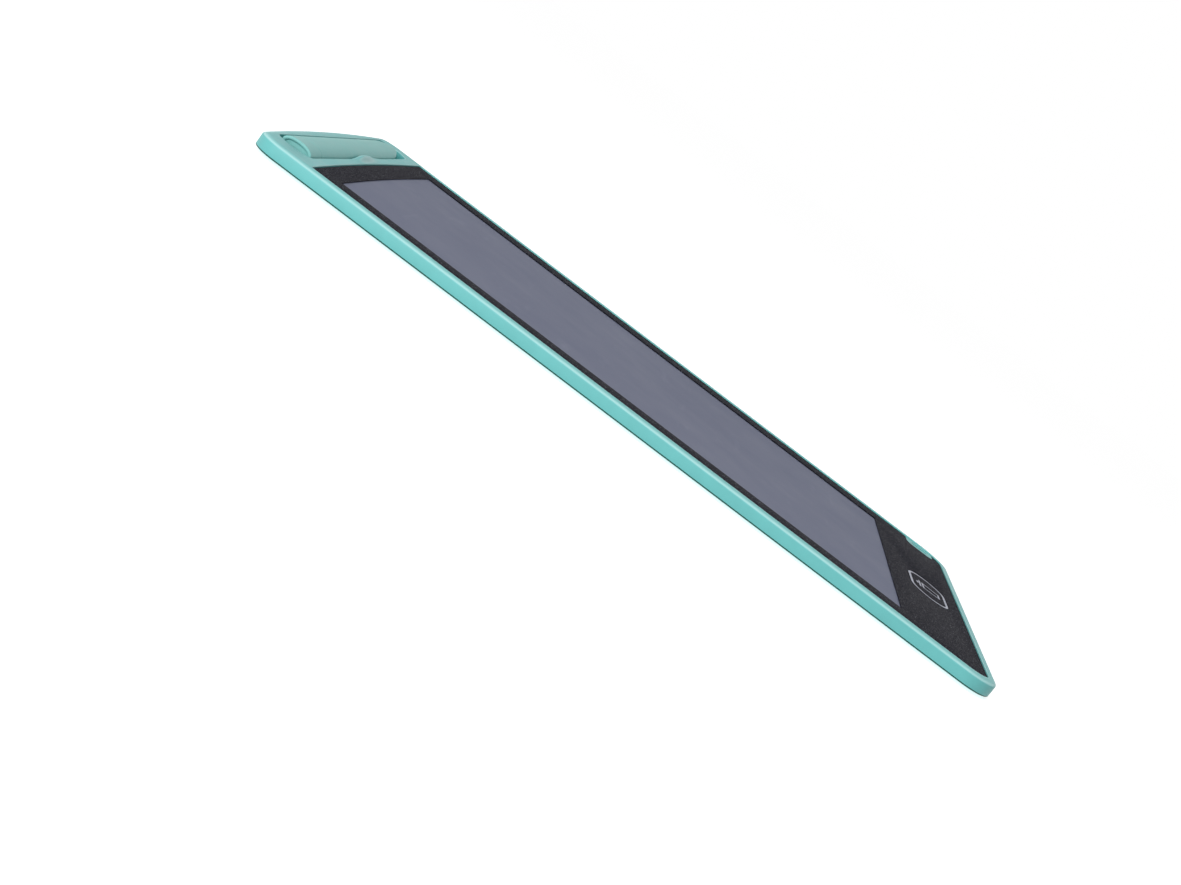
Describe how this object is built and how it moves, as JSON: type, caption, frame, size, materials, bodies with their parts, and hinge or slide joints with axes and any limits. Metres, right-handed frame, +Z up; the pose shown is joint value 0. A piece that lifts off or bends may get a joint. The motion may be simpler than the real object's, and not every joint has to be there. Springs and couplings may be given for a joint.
{
  "type": "lcd writing tablet",
  "caption": "Thin pressure-sensitive writing tablet with a coloured frame, black film bezel, erase key, coin cell bay, lock slider and a stylus lying in a groove along one end.",
  "frame": {"origin": "under the middle of the tablet, on the surface that its rubber feet stand on", "axes": "+Z up out of the writing face, +Y along the tablet towards the stylus groove, +X to the right of a writer who has the stylus groove at the top"},
  "size_m": [0.146, 0.226, 0.0069],
  "materials": {
    "case_plastic": "satin moulded ABS, turquoise",
    "stylus_plastic": "satin moulded ABS, turquoise",
    "black_film": "black film with a fine pebble grain",
    "key_plastic": "black, fine pebble grain with a pale printed ring",
    "lcd_screen": "satin dark grey writing film",
    "black_coat": "matt black coat",
    "white_tape": "thin double-sided tape",
    "white_sheet": "white polystyrene sheet",
    "foam": "fine closed-cell foam",
    "board_green": "green solder resist",
    "epoxy": "moulded black epoxy",
    "capacitor_tan": "sintered ceramic",
    "flex_amber": "polyimide film over copper",
    "steel": "nickel-plated steel",
    "foot_rubber": "matt rubber"
  },
  "bodies": {
    "case": {"rear_cover": "case_plastic", "front_frame": "case_plastic", "rubber_foot_1": "foot_rubber", "rubber_foot_2": "foot_rubber", "rubber_foot_3": "foot_rubber", "rubber_foot_4": "foot_rubber", "bezel_film": "black_film", "film_adhesive": "white_tape", "lcd_front_film": "lcd_screen", "lcd_back_film": "black_coat", "foam_pad": "foam", "support_plate": "white_sheet", "circuit_board": "board_green", "board_screw_1": "steel", "board_screw_2": "steel", "dome_switch": "steel", "driver_chip": "epoxy", "boost_inductor": "epoxy", "storage_capacitor": "capacitor_tan", "flex_tail": "flex_amber", "coin_cell": "steel", "negative_contact": "steel", "positive_contact": "steel"},
    "erase_key": {"erase_button": "key_plastic"},
    "battery_hatch": {"battery_door": "case_plastic", "door_screw": "steel"},
    "lock": {"lock_slider": "key_plastic", "lock_wiper": "steel"},
    "stylus": {"stylus_barrel": "stylus_plastic", "stylus_tail": "stylus_plastic", "stylus_nib": "stylus_plastic"}
  },
  "joints": [
    {"name": "erase_press", "type": "slide", "parent": "case", "child": "erase_key", "axis": [0, 0, -1], "range_m": [0, 0.00025], "stiffness_N_per_m": 600},
    {"name": "hatch_swing", "type": "hinge", "parent": "case", "child": "battery_hatch", "pos_m": [-0.0495, -0.0975, 0.0004], "axis": [0, 1, 0], "range_deg": [0, 45]},
    {"name": "lock_slide", "type": "slide", "parent": "case", "child": "lock", "axis": [1, 0, 0], "range_m": [0, 0.0025]},
    {"name": "stylus_lift", "type": "slide", "parent": "case", "child": "stylus", "axis": [0, 0, 1], "range_m": [0, 0.012]}
  ]
}
